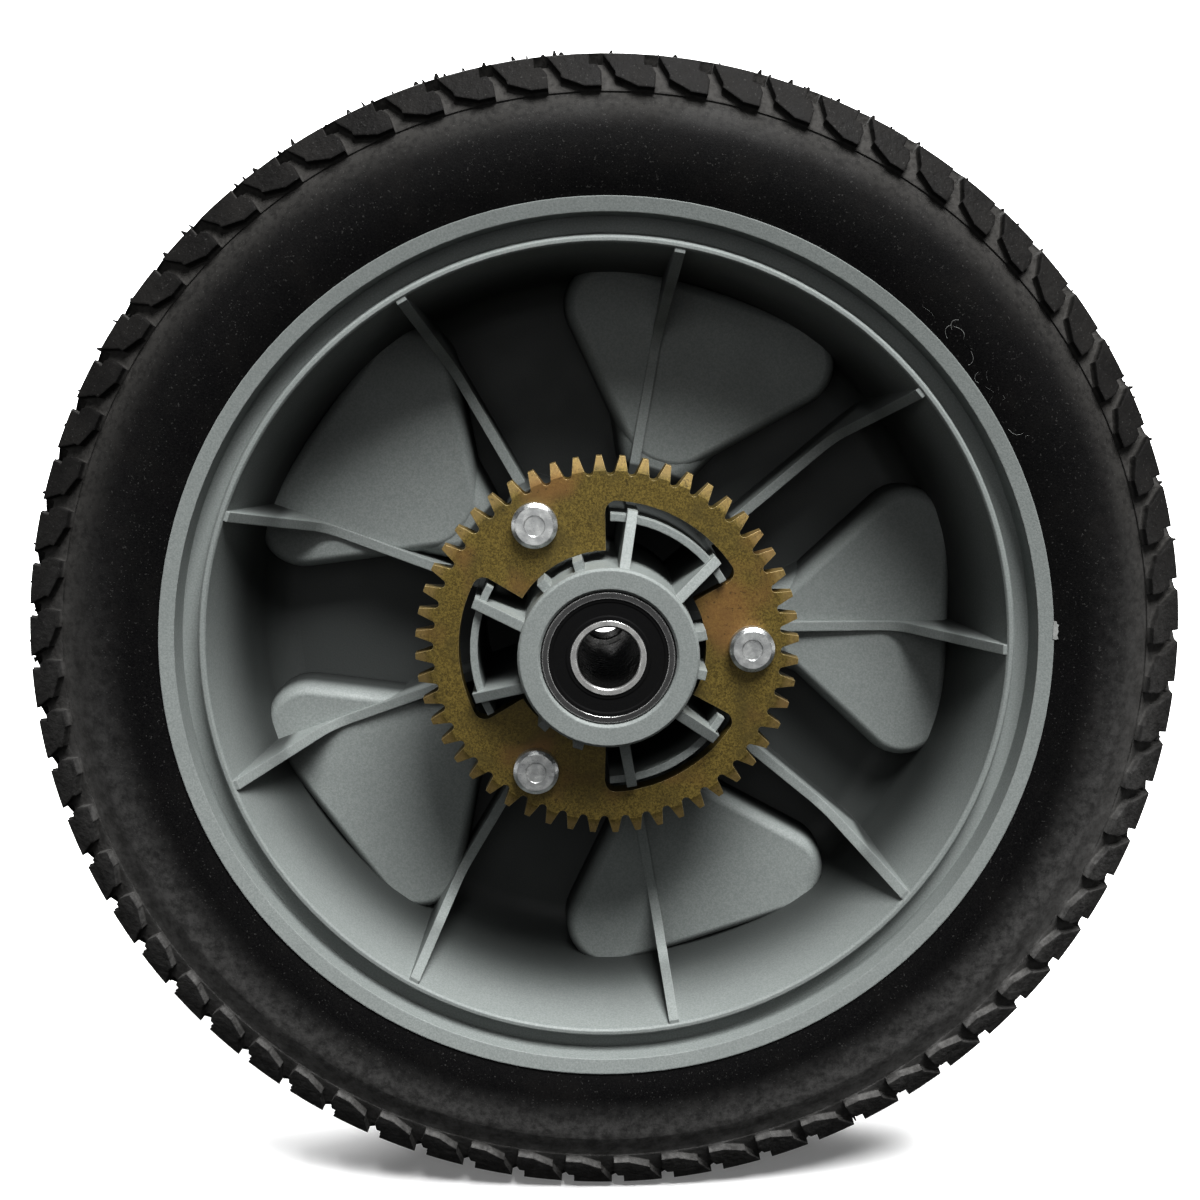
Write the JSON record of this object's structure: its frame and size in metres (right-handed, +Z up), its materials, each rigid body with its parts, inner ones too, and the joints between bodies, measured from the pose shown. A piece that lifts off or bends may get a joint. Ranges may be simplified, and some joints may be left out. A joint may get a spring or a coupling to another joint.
{
  "type": "lawn mower wheel",
  "caption": "Ribbed moulded mower drive wheel with a grooved rubber tyre, a bolted spur gear and sealed ball bearings that run on a fixed axle.",
  "frame": {"origin": "the wheel's centre, on the axle line midway between the two rim flanges", "axes": "+Y along the axle, away from the gear side; +Z up; the gear side faces -Y"},
  "size_m": [0.305, 0.0708, 0.305],
  "materials": {
    "moulding": "matte, fine grain",
    "tyre": "matte",
    "gear": "yellow zinc, satin",
    "zinc": "bright zinc",
    "spacer": "satin",
    "bearing_steel": "ground",
    "ball_steel": "polished",
    "cage_steel": "pressed",
    "seal": "matte"
  },
  "bodies": {
    "axle_side": {"inboard_inner_ring": "bearing_steel", "outboard_inner_ring": "bearing_steel", "bearing_spacer": "spacer"},
    "wheel": {"wheel_moulding": "moulding", "tyre": "tyre", "drive_gear": "gear", "gear_bolts": "zinc", "gear_nuts": "zinc", "inboard_outer_ring": "bearing_steel", "inboard_front_seal": "seal", "inboard_back_seal": "seal", "outboard_outer_ring": "bearing_steel", "outboard_front_seal": "seal", "outboard_back_seal": "seal"},
    "inboard_cage": {"inboard_balls": "ball_steel", "inboard_cage_front": "cage_steel", "inboard_cage_back": "cage_steel", "inboard_cage_rivets": "cage_steel"},
    "outboard_cage": {"outboard_balls": "ball_steel", "outboard_cage_front": "cage_steel", "outboard_cage_back": "cage_steel", "outboard_cage_rivets": "cage_steel"}
  },
  "joints": [
    {"name": "wheel_spin", "type": "hinge", "parent": "axle_side", "child": "wheel", "pos_m": [0, 0, 0], "axis": [0, 1, 0], "continuous": true},
    {"name": "inboard_cage_orbit", "type": "hinge", "parent": "axle_side", "child": "inboard_cage", "pos_m": [0, 0, 0], "axis": [0, 1, 0], "continuous": true},
    {"name": "outboard_cage_orbit", "type": "hinge", "parent": "axle_side", "child": "outboard_cage", "pos_m": [0, 0, 0], "axis": [0, 1, 0], "continuous": true}
  ],
  "couplings": [
    {"joint": "inboard_cage_orbit", "follows": "wheel_spin", "ratio": 0.61715},
    {"joint": "outboard_cage_orbit", "follows": "wheel_spin", "ratio": 0.62439}
  ]
}
